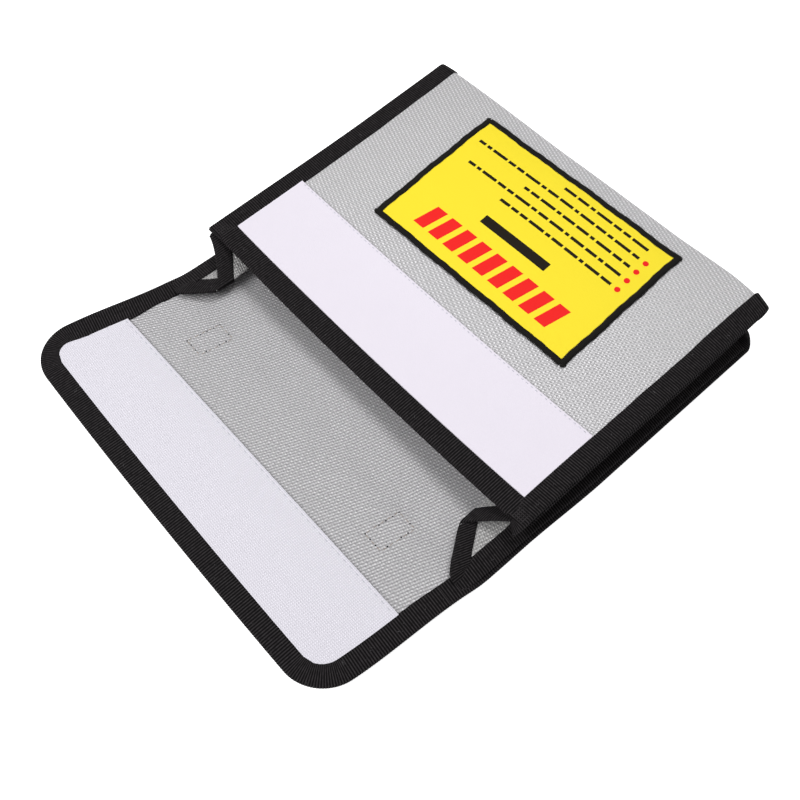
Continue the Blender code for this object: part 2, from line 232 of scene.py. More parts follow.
def tape(name, path, inward, normal, width, half, core=0.3 * MM, seed=1.0,
        taper=0.0, widen=None):
    """Grosgrain tape folded over an edge: real ribs across it, and ends closed.

    taper is the length over which its start thins down, widen the extra width at each point of its path.
    """
    path, inward, normal = (np.array(x, float) for x in (path, inward, normal))
    step = np.linalg.norm(np.diff(path, axis=0), axis=1)
    along = np.concatenate([[0.0], np.cumsum(step)])
    count = max(3, int(round(along[-1] / (RIB / RIB_SAMPLES))) + 1)
    at = np.linspace(0.0, along[-1], count)
    path, inward, normal = (np.stack([np.interp(at, along, x[:, k]) for k in range(3)], axis=1)
            for x in (path, inward, normal))
    inward, normal = unit(inward), unit(normal)
    outer, inner = tape_section(width, half, core)
    loop = outer + [(a, -b) for a, b in outer[-2::-1]] + [(a, -b) for a, b in inner[::-1]] + inner[1:]
    loop = np.array(loop)
    shown = 2 * len(outer) - 1
    tangent = np.gradient(loop[:shown], axis=0)
    out = unit(join(-tangent[:, 1], tangent[:, 0]))
    away = np.sign((out * (loop[:shown] - np.array([width * 0.5, 0.0]))).sum(axis=1))
    out = out * np.where(away == 0, 1.0, away)[:, None]
    number = np.floor(at / RIB)
    strength = 0.85 + 0.15 * np.sin(number * 12.9898 + seed * 7.0)
    rib = RIB_DEPTH * strength * (np.abs(np.cos(np.pi * at / RIB)) - 0.7)
    section = np.repeat(loop[None, :, :], count, axis=0)
    section[:, :shown] += rib[:, None, None] * out[None, :, :]
    lip = LIP_WAVER * (np.sin(at / (9 * MM) + seed) + 0.6 * np.sin(at / (3.7 * MM) + 2 * seed))
    if widen is not None:
        lip += np.interp(at, along, widen)
    section[:, :, 0] += lip[:, None] * ease((loop[:, 0] - 0.6 * width) / (0.4 * width))[None, :]
    if taper:
        section[:, :, 1] *= (0.1 + 0.9 * ease(at / taper))[:, None]
    points = (path[:, None, :] + section[:, :, :1] * inward[:, None, :]
            + section[:, :, 1:] * normal[:, None, :])
    columns = len(loop)
    around = np.concatenate([[0.0], np.cumsum(np.linalg.norm(np.diff(loop, axis=0), axis=1))])
    uv = np.stack(np.broadcast_arrays(at[:, None], around[None, :]), axis=-1).reshape(-1, 2)
    first, last = np.arange(columns), np.arange(columns) + (count - 1) * columns
    faces = quads(count, columns, wrap=True).tolist() + [first.tolist(), last[::-1].tolist()]
    return build(name, points.reshape(-1, 3), faces, uv, TAPE, creases=(first, last))


# ---- materials

class Graph:
    """A material and short calls for the nodes in it."""

    def __init__(self, name):
        self.material = bpy.data.materials.new(name)
        self.material.use_nodes = True
        self.tree = self.material.node_tree
        self.shader = self.tree.nodes["Principled BSDF"]

    def node(self, kind, **values):
        made = self.tree.nodes.new(kind)
        for key, value in values.items():
            setattr(made, key, value)
        return made

    def put(self, socket, value):
        if isinstance(value, bpy.types.NodeSocket):
            self.tree.links.new(value, socket)
        else:
            socket.default_value = value

    def math(self, operation, a, b=0.0, c=0.0):
        made = self.node("ShaderNodeMath", operation=operation)
        for socket, value in zip(made.inputs, (a, b, c)):
            self.put(socket, value)
        return made.outputs[0]

    def times(self, a, b):
        return self.math("MULTIPLY", a, b)

    def plus(self, a, b):
        return self.math("ADD", a, b)

    def ridges(self, coordinate, pitch):
        """From 1 on each ridge to 0 between them."""
        return self.math("ABSOLUTE", self.math("COSINE", self.times(coordinate, math.pi / pitch)))

    def swell(self, wave, coordinate, pitch):
        """A full wave in each pitch, between 0 and 1."""
        turn = self.times(coordinate, 2 * math.pi / pitch)
        return self.math("MULTIPLY_ADD", self.math(wave, turn), 0.5, 0.5)

    def paint(self, socket, color):
        self.put(socket, color if isinstance(color, bpy.types.NodeSocket) else (*color, 1.0))

    def mix(self, factor, a, b):
        made = self.node("ShaderNodeMix", data_type="RGBA")
        self.put(made.inputs["Factor"], factor)
        self.paint(made.inputs[6], a)
        self.paint(made.inputs[7], b)
        return made.outputs[2]

    def flat(self):
        """The two coordinates of the flat cloth, in metres."""
        made = self.node("ShaderNodeSeparateXYZ")
        source = self.node("ShaderNodeUVMap", uv_map="flat")
        self.tree.links.new(source.outputs[0], made.inputs[0])
        return made.outputs[0], made.outputs[1], source.outputs[0]

    def noise(self, scale, detail=2.0, distortion=0.0):
        made = self.node("ShaderNodeTexNoise")
        self.put(made.inputs["Scale"], scale)
        self.put(made.inputs["Detail"], detail)
        self.put(made.inputs["Distortion"], distortion)
        self.put(made.inputs["Vector"], self.flat()[2])
        return made.outputs[0]

    def bump(self, height, distance):
        made = self.node("ShaderNodeBump")
        self.put(made.inputs["Height"], height)
        self.put(made.inputs["Distance"], distance)
        self.put(self.shader.inputs["Normal"], made.outputs[0])

    def finish(self, color, roughness, **extra):
        self.paint(self.shader.inputs["Base Color"], color)
        self.put(self.shader.inputs["Roughness"], roughness)
        for key, value in extra.items():
            self.put(self.shader.inputs[key.replace("_", " ")], value)
        return self.material


def woven(name, gap_shade_and_fleck, thread, painted_highlight, angle, pitch, lines, lean, depth=0.22 * MM):
    """Coated plain weave: threads pass over and under at each crossing, on a grain turned by angle.

    lines is how much its columns and its rows show, lean how much painted highlight lies along one diagonal
    of crossings. The thread tops and crossings are painted lighter and the gaps darker: painted highlight and
    painted shade.
    """
    g = Graph(name)
    u, v, _ = g.flat()
    stray = g.times(g.math("SUBTRACT", g.noise(140.0), 0.5), 0.5 * MM)
    u, v = g.plus(u, stray), g.math("SUBTRACT", v, stray)
    c, s = math.cos(math.radians(angle)), math.sin(math.radians(angle))
    p = g.plus(g.times(u, c), g.times(v, s))
    q = g.math("SUBTRACT", g.times(v, c), g.times(u, s))
    p, q = g.times(p, math.pi / pitch[0]), g.times(q, math.pi / pitch[1])
    wave_p, wave_q = g.math("COSINE", p), g.math("COSINE", q)
    crossing = g.times(wave_p, wave_q)
    mound = g.times(g.math("POWER", g.math("ABSOLUTE", wave_p), lines[0]),
            g.math("POWER", g.math("ABSOLUTE", wave_q), lines[1]))
    over = g.math("MAXIMUM", crossing, 0.0)
    diagonal = g.math("COSINE", g.math("ADD" if lean > 0 else "SUBTRACT", p, q))
    diagonal = g.math("MULTIPLY_ADD", diagonal, 0.5, 0.5)
    # painted shade: the gaps between the threads are coloured darker than the thread tops
    color = g.mix(mound, gap_shade_and_fleck, thread)
    # painted highlight: the crossings on top and one diagonal of them are coloured toward the highlight
    # colour
    color = g.mix(g.math("MULTIPLY_ADD", diagonal, abs(lean), g.times(over, 0.5)), color, painted_highlight)
    fibre = g.times(g.math("SUBTRACT", g.noise(1000.0, 1.0), 0.42), 2.0)
    # random dark fibre flecks and a broad mottle also take the gap colour; these are the cloth's own tone
    color = g.mix(g.math("MAXIMUM", fibre, 0.0), color, gap_shade_and_fleck)
    color = g.mix(g.times(g.noise(60.0, 3.0), 0.14), color, gap_shade_and_fleck)
    height = g.plus(mound, g.times(g.plus(over, diagonal), 0.35))
    height = g.plus(height, g.times(g.noise(2600.0), 0.25))
    g.bump(height, depth)
    return g.finish(color, g.math("MULTIPLY_ADD", mound, -0.12, 0.52), Metallic=0.25)


def ribbed(name, dark, light):
    """Black grosgrain. The ribs are real; the finer threads along and across them are bump."""
    g = Graph(name)
    u, v, _ = g.flat()
    across, threads = g.ridges(u, RIB), g.ridges(v, 0.42 * MM)
    speck = g.noise(1500.0, 3.0)
    raised = g.times(g.math("POWER", across, 4.0), g.math("MULTIPLY_ADD", threads, 0.35, 0.65))
    # painted highlight and painted shade: rib tops are coloured toward the lighter colour and the valleys
    # stay dark; the noise adds random tone
    color = g.mix(g.times(raised, g.times(g.noise(500.0), 2.0)), dark, light)
    fibre = g.times(g.math("GREATER_THAN", g.noise(420.0, 4.0, distortion=1.5), 0.70), 0.6)
    color = g.mix(fibre, color, (0.10, 0.096, 0.10))
    g.bump(g.plus(g.times(raised, 0.6), speck), 0.14 * MM)
    return g.finish(color, 0.85, Specular_IOR_Level=0.08)


def pile(name, color, shade, scale, depth):
    """Brushed loops, fine and matt."""
    g = Graph(name)
    fine = g.noise(scale, 4.0)
    wide = g.noise(90.0, 2.0)
    tint = g.mix(g.math("MULTIPLY_ADD", fine, 0.5, -0.1), color, shade)
    tint = g.mix(g.times(wide, 0.12), tint, shade)
    g.bump(fine, depth)
    return g.finish(tint, 0.95, Sheen_Weight=0.4, Sheen_Roughness=0.6)


def hooks(name, color, shade):
    """Rows of small stiff hooks."""
    g = Graph(name)
    u, v, _ = g.flat()
    grid = g.times(g.swell("COSINE", u, 1.25 * MM), g.swell("COSINE", v, 1.0 * MM))
    # painted shade: the hollows between the hooks are coloured toward the darker colour
    tint = g.mix(grid, shade, color)
    g.bump(g.plus(grid, g.times(g.noise(1800.0), 0.5)), 0.22 * MM)
    return g.finish(tint, 0.6)


def printed(name, color, shade):
    """Fine label cloth or the ink on it."""
    g = Graph(name)
    u, v, _ = g.flat()
    weave = g.times(g.ridges(u, 0.5 * MM), g.ridges(v, 0.5 * MM))
    # painted shade: the gaps of the fine weave are coloured up to a quarter of the way to the darker colour
    tint = g.mix(g.math("MULTIPLY_ADD", weave, -0.25, 0.25), color, shade)
    g.bump(g.plus(weave, g.noise(700.0)), 0.05 * MM)
    return g.finish(tint, 0.62, Specular_IOR_Level=0.15)


def yarn(name, color, shade):
    """Twisted thread."""
    g = Graph(name)
    u, v, _ = g.flat()
    twist = g.swell("SINE", g.plus(u, v), 0.6 * MM)
    g.bump(g.plus(twist, g.noise(1400.0)), 0.12 * MM)
    # painted shade: the grooves of the twist are coloured toward the darker colour
    return g.finish(g.mix(twist, shade, color), 0.8, Specular_IOR_Level=0.12)


GRAIN = 15.2
FRONT_PITCH = (1.65 * MM, 1.30 * MM)
INSIDE_PITCH = (1.60 * MM, 1.20 * MM)
# each weave gets its gap colour (painted shade), its thread colour and its painted highlight colour
SILVER_FRONT = woven("silver_front", (0.41, 0.405, 0.415), (0.58, 0.57, 0.585), (0.97, 0.96, 0.98), GRAIN,
        FRONT_PITCH, (0.3, 0.5), 0.36)
SILVER_INSIDE = woven("silver_inside", (0.29, 0.284, 0.296), (0.65, 0.638, 0.656), (1.0, 0.988, 1.0), -GRAIN,
        INSIDE_PITCH, (1.0, 0.25), -0.12)
SILVER_GUSSET = woven("silver_gusset", (0.30, 0.295, 0.295), (0.54, 0.53, 0.53), (0.78, 0.77, 0.76), GRAIN,
        FRONT_PITCH, (0.7, 0.5), 0.3, depth=0.3 * MM)
# each ribbed tape gets its dark colour and the painted highlight for its rib tops
TAPE = ribbed("black_grosgrain", (0.003, 0.0026, 0.003), (0.042, 0.038, 0.040))
WEBBING = ribbed("black_webbing", (0.003, 0.003, 0.003), (0.040, 0.037, 0.038))
LOOP = pile("loop_white", (0.86, 0.81, 0.90), (0.70, 0.66, 0.74), 2400.0, 0.12 * MM)
HOOK = hooks("hook_white", (0.93, 0.90, 0.98), (0.72, 0.70, 0.77))
YELLOW = printed("label_yellow", (1.0, 0.82, 0.035), (0.86, 0.62, 0.02))
RED_INK = printed("print_red", (0.93, 0.018, 0.016), (0.75, 0.01, 0.01))
DARK_INK = printed("print_dark", (0.012, 0.008, 0.003), (0.008, 0.005, 0.002))
OVERLOCK = yarn("overlock_black", (0.022, 0.020, 0.018), (0.004, 0.004, 0.004))
BEIGE = yarn("thread_beige", (0.50, 0.41, 0.33), (0.30, 0.24, 0.19))
PALE_THREAD = yarn("thread_pale", (0.72, 0.73, 0.79), (0.5, 0.5, 0.56))
HOLE = printed("needle_hole", (0.012, 0.011, 0.011), (0.006, 0.006, 0.006))


# ---- the front

def turned(grid, angle):
    """Points turned about the vertical axis that the front and back are twisted round."""
    c, s = math.cos(angle), math.sin(angle)
    x, y = grid[..., 0], grid[..., 1] - TWIST_CENTRE_Y
    return join(c * x - s * y, s * x + c * y + TWIST_CENTRE_Y, grid[..., 2])


def front_rise(x, y):
    """How much higher the front lies than at its mouth."""
    right = 1 - clamp((EDGE_X - x) / (2 * EDGE_X)) ** 2.5
    t = clamp((y - MOUTH_Y) / NOSE_STRAIGHT)
    return (RISE_LEFT + (RISE_RIGHT - RISE_LEFT) * right) * t ** 1.3


NOSE_STRAIGHT = NOSE_CENTRE_Y - MOUTH_Y
NOSE_TURN = math.radians(190)
NOSE_TAIL = 2 * MM
FRONT_LENGTH = NOSE_STRAIGHT + NOSE_RADIUS * NOSE_TURN + NOSE_TAIL
NOSE_THINNING = 0.38  # share of the nose's radius that its two ends lose
FRONT_SPREAD = (-1.8 * MM, 2.8 * MM)  # how far out the sides lie at the mouth, and what the bottom adds
FRONT_SHIFT = (-0.9 * MM, 2.7 * MM)  # the same for the shift toward +X
CORNER_REACH = (2.8 * MM, 1.9 * MM)  # how far the bottom's left and right corners reach past its middle
CORNER_DROOP = 0.6 * MM
MOUTH_BOW = 0.6 * MM  # the mouth's corners lie this much further in than its middle
MOUTH_ASKEW = 0.012  # slope of the mouth's edge
CROWN = 0.5 * MM
FRONT_RIPPLE = 0.18 * MM


def front_side(x, y):
    """Where x across the front lies: it is narrower at the mouth than at the bottom."""
    t = clamp((y - MOUTH_Y) / NOSE_STRAIGHT)
    spread = FRONT_SPREAD[0] + FRONT_SPREAD[1] * t ** 1.6
    return x * (1 + spread / EDGE_X) + FRONT_SHIFT[0] + FRONT_SHIFT[1] * ease(t / 0.75)


def front_surface(x, v):
    """Point of the front's cloth at x across and v along it from the mouth edge."""
    x, v = np.broadcast_arrays(x, v)
    turn = np.clip((v - NOSE_STRAIGHT) / NOSE_RADIUS, 0.0, NOSE_TURN)
    tail = np.maximum(v - NOSE_STRAIGHT - NOSE_RADIUS * NOSE_TURN, 0.0)
    y = MOUTH_Y + np.where(v < NOSE_STRAIGHT, v, NOSE_STRAIGHT)
    z = FRONT_Z + front_rise(x, y)
    side = np.abs(x) / EDGE_X
    t = clamp((y - MOUTH_Y) / NOSE_STRAIGHT)
    radius = NOSE_RADIUS * (1 - NOSE_THINNING * side ** 8)
    y = y + radius * np.sin(turn) + tail * math.cos(NOSE_TURN)
    z = z - radius * (1 - np.cos(turn)) - tail * math.sin(NOSE_TURN)
    far = ease((t - 0.7) / 0.3)
    droop = CORNER_DROOP * side ** 7 * far
    open_side = clamp(1 - side ** 2)
    bulge = BULGE * t ** 2.2 * (1 - t ** 6)
    crown = (CROWN * ease(v / (40 * MM)) * (1 - turn / NOSE_TURN) + bulge) * open_side
    ripple = FRONT_RIPPLE * wander(x, v, 90 * MM, 2.0) * ease(v / (30 * MM)) * clamp(1 - side ** 4)
    near_mouth = 1 - ease((v - 30 * MM) / (90 * MM))
    sag = SAG * open_side ** 0.8 * near_mouth
    bow = (MOUTH_BOW * (1 - open_side) - MOUTH_ASKEW * x) * near_mouth
    left = clamp((-20 * MM - x) / (85 * MM)) ** 1.2
    right = clamp((x - 60 * MM) / (35 * MM)) * (1 - 1.5 * side ** 12)
    corners = CORNER_REACH[0] * left + CORNER_REACH[1] * right
    z = z - droop - sag + crown + ripple
    return turned(join(front_side(x, y), y + bow + corners * far, z), TWIST)


def rows_of(start, end, step):
    """Even rows from start to end, step apart at most."""
    return np.linspace(start, end, int(math.ceil((end - start) / step)) + 1)


half = EDGE_X - LIP
across = rows_of(-half, half, 3 * MM)
along = np.concatenate([rows_of(LIP, NOSE_STRAIGHT - 5 * MM, 3 * MM)[:-1],
        rows_of(NOSE_STRAIGHT - 5 * MM, FRONT_LENGTH, 0.8 * MM)])
X, V = np.meshgrid(across, along, indexing="ij")
front_cloth = shell("front_cloth", front_surface(X, V), join(X, V), CLOTH, SILVER_FRONT)
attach(front_cloth, "front")
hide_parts("front_panel", "front_bottom_fold")


def surface_tape(surface, xs, vs, inward_x, inward_v):
    """Path, inward direction and normal of a tape along a line on a surface."""
    du, dv = directions(surface, xs, vs, 0.4 * MM)
    return surface(xs, vs), du * inward_x + dv * inward_v, unit(np.cross(du, dv))


MOUTH_OUT = 1.2 * MM  # the mouth tape reaches this much past the front's edge
TIP_LENGTH = {-1: 0.2, 1: 1.0}  # how much of its turned-down end the left and the right side tape have
TIP_BEND = 1.6, 2.0, 6.0  # mm that a whole end bends outward, toward the flap and down
for side, word in SIDES:
    tip_length = TIP_LENGTH[side]
    vs = rows_of(-MOUTH_OUT, FRONT_LENGTH, 0.35 * MM)
    path, inward, normal = surface_tape(front_surface, np.full_like(vs, side * EDGE_X), vs, -side, 0)
    # the tape's end turns down over the mouth tape, toward the gusset
    count = 22
    t = np.linspace(1, 0, count)[:, None]
    bend = np.array([-side * TIP_BEND[0], -TIP_BEND[1], -TIP_BEND[2]]) * MM * tip_length
    tip = path[0] + bend * t ** 1.4 + np.array([0, -1.6, 0]) * MM * t * tip_length
    tip_in = unit(inward[0] + np.array([0, 0.75, -0.1]) * t * tip_length)
    tip_normal = unit(normal[0] + np.array([side * 0.25, -1.1, 0]) * t * tip_length)
    path, inward, normal = (np.concatenate([end, rest[1:]]) for end, rest in
            ((tip, path), (tip_in, inward), (tip_normal, normal)))
    # the left tape is a little wider along the middle of the front
    lip = np.interp(vs, np.array([60, 80, 150, 175]) * MM, np.array([0, 0.5, 0.9, 0]) * MM) * (side < 0)
    lip = np.concatenate([np.full(count - 1, lip[0]), lip])
    piece = tape(f"front_side_tape_{word}", path, inward, normal, TAPE_WIDTH, TAPE_HALF, seed=side + 2,
            widen=lip)
    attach(piece, "front")
    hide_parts(f"front_binding_{word}", f"front_corner_binding_{word}")

xs = rows_of(-EDGE_X + 2.5 * MM, EDGE_X - 2.5 * MM, 1 * MM)
path, inward, normal = surface_tape(front_surface, xs, np.full_like(xs, -MOUTH_OUT), 0, 1)
front_mouth_tape = tape("front_mouth_tape", path, inward, normal, TAPE_WIDTH + 1.4 * MM,
        TAPE_HALF * 1.1, seed=5)
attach(front_mouth_tape, "front")
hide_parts("front_mouth_binding")


def front_patch(name, x0, x1, v0, v1, lift, thickness, finish, place=None):
    """A flat patch lying on the front's cloth, its points moved by place."""
    X, V = np.meshgrid(rows_of(x0, x1, 2 * MM), rows_of(v0, v1, 2 * MM), indexing="ij")
    grid = front_surface(*(place(X, V) if place else (X, V)))
    grid[:, :, 2] += lift
    piece = shell(name, grid, join(X, V), thickness, finish)
    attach(piece, "front")
    return piece


def on_front(y):
    """Distance along the front from its mouth edge."""
    return y - MOUTH_Y


loop_low, loop_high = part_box("loop_strip")
loop_strip = front_patch("loop_pile_strip", loop_low.x - 1.5 * MM, loop_high.x + 0.6 * MM,
        on_front(loop_low.y) - 0.8 * MM, on_front(loop_high.y) - 0.1 * MM,
        1.0 * MM, 1.3 * MM, LOOP)
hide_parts("loop_strip")

label_low, label_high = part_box("label_patch")


def on_label(x, v):
    """Where a point of the label lies on the front: it is sewn a little askew."""
    t = (v - on_front(label_low.y)) / (label_high.y - label_low.y)
    return x - (0.4 + 1.1 * t) * MM, v + (1.7 * t - 0.3) * MM + 0.012 * x


label = front_patch("label_cloth", label_low.x - 1 * MM, label_high.x + 1 * MM,
        on_front(label_low.y) - 1 * MM, on_front(label_high.y) + 1 * MM,
        0.75 * MM, 0.6 * MM, YELLOW, place=on_label)
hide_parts("label_patch")


# ---- the back and the flap

CURL_TURN = math.radians(150)
BACK_END = CURL_CENTRE_Y + CURL_RADIUS * CURL_TURN
CURL_SHIFT = 1.4 * MM  # the rolled end lies this much toward -X
CURL_NARROWING = 0.05
CURL_CORNER_IN = 0.8 * MM
BACK_HALF = 119.7 * MM
MOUTH_PINCH = 1.6 * MM  # how much the back's half width shrinks at the mouth
FLAP_FLARE = 3.6 * MM  # and how much the flap's grows again at its free edge
BACK_SKEW = 0.012  # slope of the back's middle line, toward +X at the bottom
BACK_TILT = 0.01  # slope of its rows
FLAP_TILT = 0.015  # and how much more the flap's rows slope
FLAP_BOW = 3.0 * MM  # the free edge bows out by this at its middle
BACK_RIPPLE = 0.15 * MM
LEAN_Y = -57 * MM  # the flap starts to lean here
LEAN_SOFT = 6 * MM
STEP_HALF = 6 * MM  # the cloth steps up to the flap's height within this far of the spine's fold


def back_half(y):
    """Half width of the back and flap at y, and how far its middle lies from the bag's."""
    pinch = MOUTH_PINCH * ease((25 * MM - y) / (55 * MM))
    flare = FLAP_FLARE * ease((-66 * MM - y) / (62 * MM))
    beyond = LEAN_Y - y
    lean = FLAP_LEAN * (np.sqrt(beyond ** 2 + LEAN_SOFT ** 2) + beyond) / 2
    return BACK_HALF - pinch + flare, BACK_SHIFT + BACK_SKEW * y - lean


def back_surface(across, v):
    """Point of the back strip. across runs from -1 to 1, v is y on the flat, then on round the curl."""
    across, v = np.broadcast_arrays(across, v)
    turn = np.clip((v - CURL_CENTRE_Y) / CURL_RADIUS, 0.0, CURL_TURN)
    y = np.minimum(v, CURL_CENTRE_Y)
    z = BACK_Z + (FLAP_Z - BACK_Z) * ease((SPINE_Y + STEP_HALF - y) / (2 * STEP_HALF))
    half_width, middle = back_half(y)
    ripple = BACK_RIPPLE * wander(across * EDGE_X, v, 110 * MM, 4.0) * clamp(1 - across ** 4)
    curl = ease(turn / CURL_TURN)
    x = across * half_width * (1 - CURL_NARROWING * curl) + middle - CURL_SHIFT * curl
    inner = CURL_CORNER_IN * np.abs(across) ** 8 * curl
    bow = FLAP_BOW * (1 - 0.6 * across ** 2) * ease((-105 * MM - y) / (42 * MM))
    tilt = (BACK_TILT + FLAP_TILT * ease((-60 * MM - y) / (60 * MM))) * across * EDGE_X
    return join(x, y - tilt + CURL_RADIUS * np.sin(turn) - inner - bow,
            z + CURL_RADIUS * (1 - np.cos(turn)) + np.maximum(ripple, -0.1 * MM))


def back_cloth_piece(name, v0, v1, bodies, start, end, nodes, widths=None):
    """One of the back strip's two cloths, with close rows at the flap's folds."""
    near, close = 4 * MM, 0.5 * MM
    folds = [np.arange(max(v0, y - near), min(v1, y + near), close) for y in (SPINE_Y, COVER_Y)]
    vs = np.unique(np.concatenate([rows_of(v0, v1, 2.5 * MM), *folds]).round(7))
    share = (EDGE_X - LIP) / EDGE_X
    us = np.linspace(-share, share, 84)
    U, V = np.meshgrid(us, vs, indexing="ij")
    U = U if widths is None else U * widths(V)
    piece = shell(name, back_surface(U, V), join(U * EDGE_X, V), CLOTH, SILVER_INSIDE)
    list(bodies)
    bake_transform(piece)
    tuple(start)
    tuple(end)
    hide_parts(*nodes)
    return piece


BEND = 1.5 * MM  # half the span of the start and end points put about each of the flap's fold axes
SPINE_BLEND = dict(start=(0, SPINE_Y + BEND, 0), end=(0, SPINE_Y - BEND, 0))
COVER_BLEND = dict(start=(0, COVER_Y + BEND, 0), end=(0, COVER_Y - BEND, 0))
back_cloth = back_cloth_piece("back_cloth", SPLIT_Y, BACK_END,
        ("back", "flap_spine"), **SPINE_BLEND, nodes=("back_panel", "back_bottom_fold"))


def flap_width(y):
    """Share of the full half width at y, for the flap's round corners."""
    radius = FLAP_CORNER_LEFT
    into = np.clip(FLAP_EDGE_Y + radius - y, 0.0, radius)
    return (FLAP_HALF - radius + np.sqrt(radius ** 2 - into ** 2)) / FLAP_HALF


flap_cloth = back_cloth_piece("flap_cloth", FLAP_EDGE_Y + LIP, SPLIT_Y, ("flap_spine", "flap_cover"),
        **COVER_BLEND, nodes=("flap_spine_panel", "flap_cover_panel"),
        widths=flap_width)

for side, word in SIDES:
    vs = rows_of(SPLIT_Y, BACK_END, 0.35 * MM)
    us = np.full_like(vs, side)
    points = back_surface(us, vs)
    running = directions(back_surface, us, vs, 0.4 * MM)[1]
    inward = -side * unit(join(running[:, 1], -running[:, 0], 0 * vs))
    inward[vs > CURL_CENTRE_Y] = (-side, 0.0, 0.0)
    normal = unit(np.cross(np.tile([1.0, 0, 0], (len(vs), 1)), running))
    piece = tape(f"back_side_tape_{word}", points, inward, normal, TAPE_WIDTH, TAPE_HALF, seed=side + 8)
    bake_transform(piece)
    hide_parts(f"back_binding_{word}", f"back_corner_binding_{word}")

# one tape round the flap's three free sides
FLAP_TAPE_EXTRA = 0.9 * MM  # its extra width away from its ends
LEFT_EXTRA = 1.6 * MM  # what the left side has on top of that
EDGE_LESS = 0.6 * MM  # and what the free edge has less


def flap_side(side, radius):
    """One side of the flap's outline, from where its cloth starts to the end of its round corner."""
    ys = rows_of(FLAP_EDGE_Y + radius, SPLIT_Y + 0.5 * MM, 1 * MM)[::-1]
    turn = np.radians(np.linspace(0, 90, 40))[1:]
    straight = join(np.full_like(ys, side * FLAP_HALF), ys)
    corner = join(side * (FLAP_HALF - radius * (1 - np.cos(turn))),
            FLAP_EDGE_Y + radius * (1 - np.sin(turn)))
    return np.concatenate([straight, corner])


left_run, right_run = flap_side(-1, FLAP_CORNER_LEFT), flap_side(1, FLAP_CORNER)
xs = np.linspace(left_run[-1, 0], right_run[-1, 0], 100)[1:-1]
outline = np.concatenate([left_run, join(xs, np.full_like(xs, FLAP_EDGE_Y)), right_run[::-1]])
away = np.minimum(np.arange(len(outline)), np.arange(len(outline))[::-1]) / 30
on_left = (outline[:, 0] < -90 * MM) * ease((outline[:, 1] + 132 * MM) / (20 * MM))
flap_extra = FLAP_TAPE_EXTRA * ease(away) + LEFT_EXTRA * ease(away * 1.5) * on_left
flap_extra -= EDGE_LESS * ease((90 * MM - np.abs(outline[:, 0])) / (20 * MM))
path = back_surface(outline[:, 0] / FLAP_HALF, outline[:, 1])
heading = unit(np.gradient(path, axis=0) * np.array([1, 1, 0]))
toward = join(-heading[:, 1], heading[:, 0], np.zeros(len(heading)))
flap_tape = tape("flap_tape", path, toward, np.tile([0, 0, 1.0], (len(path), 1)), TAPE_WIDTH, TAPE_HALF,
        seed=11, widen=flap_extra)
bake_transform(flap_tape)
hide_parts("flap_binding", "flap_spine_binding_left", "flap_spine_binding_right")


def flap_patch(name, y0, y1, inset, lift, thickness, finish, skew=0.0):
    """A patch on the flap that follows its tape's lip, inset from the outline."""
    ys = rows_of(y0, y1, 1.5 * MM)
    us = np.linspace(-1, 1, 140)
    radius = FLAP_CORNER - inset
    into = np.clip(FLAP_EDGE_Y + inset + radius - ys, 0.0, radius)
    reach = FLAP_HALF - inset - radius + np.sqrt(np.maximum(radius ** 2 - into ** 2, 0.0))
    U, Y = np.meshgrid(us, ys, indexing="ij")
    # its left side stays further in, beyond the round corner
    trim = np.where(U < 0, 0.3 * MM + 2.0 * MM * ease((Y + 133 * MM) / (15 * MM)), 0.4 * MM)
    W = reach[None, :] - trim
    grid = back_surface(U * W / FLAP_HALF, Y + skew * U * W * (Y - y0) / (y1 - y0))
    grid[:, :, 2] += lift
    return shell(name, grid, join(U * W, Y), thickness, finish)


hook_low, hook_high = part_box("hook_strip")
HOOK_EDGE_Y = hook_high.y - 2.6 * MM
HOOK_SKEW = 0.013  # slope of the hook strip's inner edge
HOOK_INSET = TAPE_WIDTH + FLAP_TAPE_EXTRA - 1.3 * MM
hook_strip = flap_patch("hook_pile_strip", FLAP_EDGE_Y + HOOK_INSET, HOOK_EDGE_Y, HOOK_INSET,
        1.0 * MM, 1.2 * MM, HOOK, skew=HOOK_SKEW)
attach(hook_strip, "flap_cover")
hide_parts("hook_strip")


# ---- gussets

FOLD = math.atan2(MIDDLE_Z - BACK_SEAM_Z, SEAM_X - MIDDLE_X)
MOUTH_BACK_Y = -67.5 * MM
MOUTH_MIDDLE_Y = {-1: -50.6 * MM, 1: -47.4 * MM}
MOUTH_FRONT_Y = {-1: -32.6 * MM, 1: -30.0 * MM}
MOUTH_TAPE = 11 * MM
GUSSET_TAPE = 10.5 * MM
SEAM_GAP = 0.9 * MM  # from the tape round the front or the back to the middle of the gusset's
EDGE_IN = 6 * MM  # the gusset's cloth ends this far inside its seam tapes
CREASE_OUT = {-1: 2.0 * MM, 1: 2.8 * MM}  # the middle fold lies this much further out at the mouth
LANDING = 1.0 * MM  # the mouth tape's end comes down by this onto the back's tape
CRUMPLE = 0.45 * MM
SEAM_REACH = 3 * MM  # the right front seam has no joint to the front, so its tape reaches further
MITRE = 7.5 * MM  # the bottom's cloth keeps this clear of the sides' at its corners
CREASE_FALL = 0.0116  # slope of the middle fold, down toward the mouth
LEG = 0.62  # share of the back half that its mouth edge takes to reach the back
LEG_TURN = 22  # how sharply it turns there


def gusset_mouth(side, s):
    """The line of the gusset's mouth edge: straight from the middle fold down to the back, then along it."""
    down = clamp(1 - s / GUSSET_HALF)
    up = clamp(s / GUSSET_HALF - 1)
    down = LEG - np.logaddexp(0.0, LEG_TURN * (LEG - down)) / LEG_TURN
    return (MOUTH_MIDDLE_Y[side] + (MOUTH_BACK_Y - MOUTH_MIDDLE_Y[side]) * clamp(down / LEG)
            + (MOUTH_FRONT_Y[side] - MOUTH_MIDDLE_Y[side]) * (1 - (1 - up) ** 1.3))


